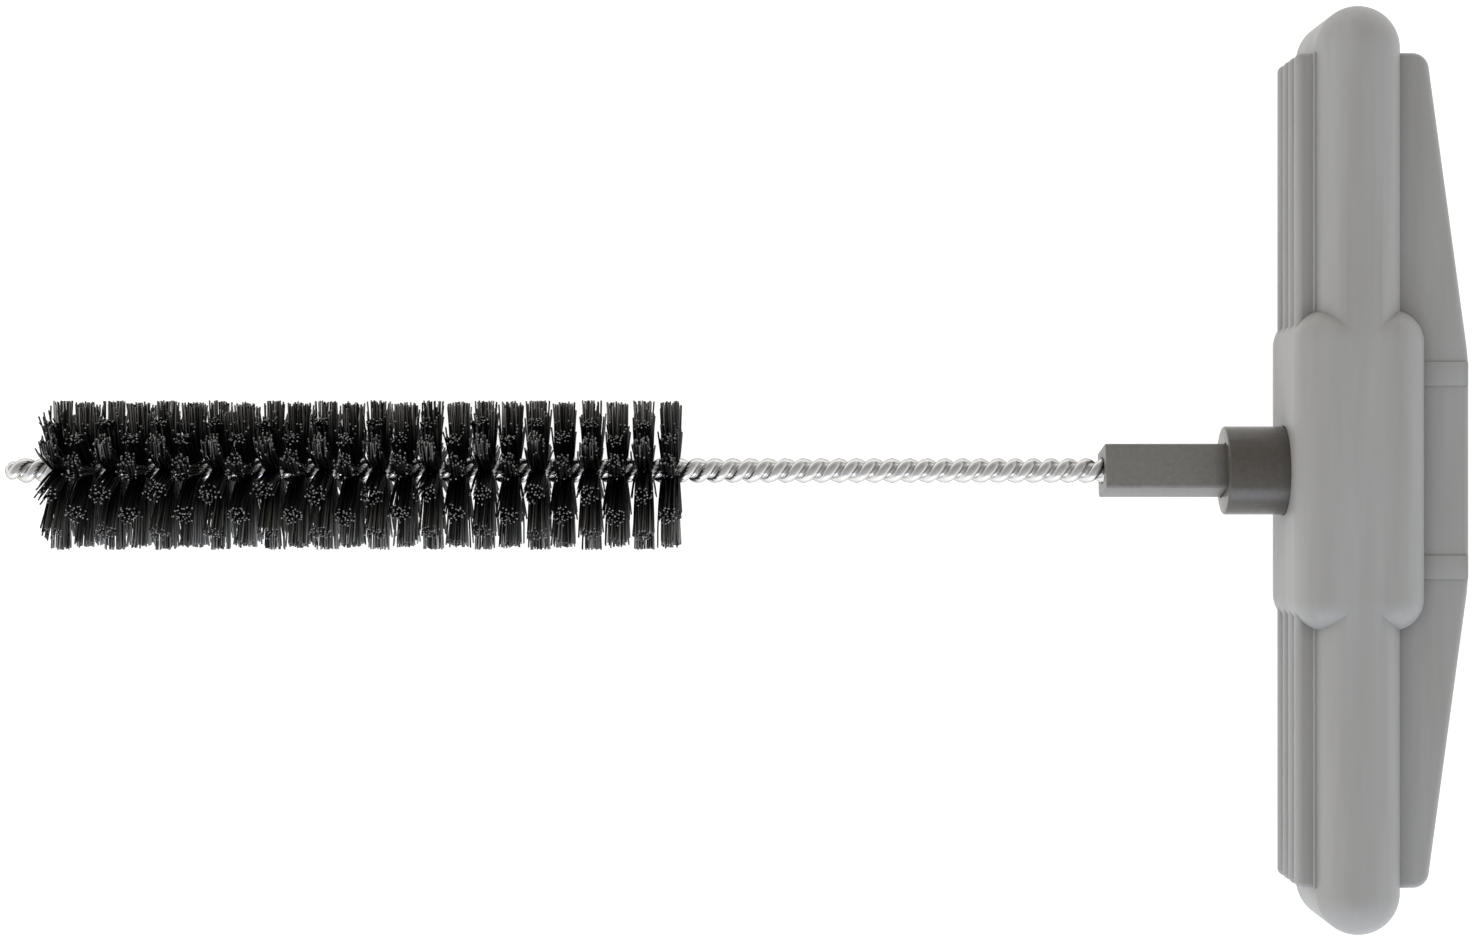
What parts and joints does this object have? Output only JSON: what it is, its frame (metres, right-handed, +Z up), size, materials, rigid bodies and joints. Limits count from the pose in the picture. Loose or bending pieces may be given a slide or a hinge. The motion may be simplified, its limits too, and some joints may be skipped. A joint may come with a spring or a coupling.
{
  "type": "drill hole cleaning brush",
  "caption": "Hand brush for cleaning drilled holes: a finned T handle with a round socket collar, a square shank, a twisted wire core and a cylinder of short stiff bristles.",
  "frame": {"origin": "middle of the tool's footprint, on the table that it lies on", "axes": "+X along the brush axis, from the brush's tip towards the palm side of the handle; +Y along the handle's bar; +Z up from the table"},
  "size_m": [0.158, 0.0992, 0.0188],
  "materials": {
    "grey_grip": "matte, fine moulded grain",
    "dark_collar": "satin",
    "iron_grey_shank": "satin",
    "zinc_wire": "bright galvanised",
    "black_bristle": "satin nylon"
  },
  "bodies": {
    "handle": {"handle_grip": "grey_grip", "socket_collar": "dark_collar"},
    "brush": {"square_shank": "iron_grey_shank", "core_wire": "zinc_wire", "bristle_row_01": "black_bristle", "bristle_row_02": "black_bristle", "bristle_row_03": "black_bristle", "bristle_row_04": "black_bristle", "bristle_row_05": "black_bristle", "bristle_row_06": "black_bristle", "bristle_row_07": "black_bristle", "bristle_row_08": "black_bristle", "bristle_row_09": "black_bristle", "bristle_row_10": "black_bristle", "bristle_row_11": "black_bristle", "bristle_row_12": "black_bristle", "bristle_row_13": "black_bristle", "bristle_row_14": "black_bristle", "bristle_row_15": "black_bristle", "bristle_row_16": "black_bristle", "bristle_row_17": "black_bristle", "bristle_row_18": "black_bristle", "bristle_row_19": "black_bristle", "bristle_row_20": "black_bristle", "bristle_row_21": "black_bristle", "bristle_row_22": "black_bristle", "bristle_row_23": "black_bristle", "bristle_row_24": "black_bristle"}
  },
  "joints": [
    {"name": "brush_pull", "type": "slide", "parent": "handle", "child": "brush", "axis": [-1, 0, 0], "range_m": [0, 0.009]}
  ]
}
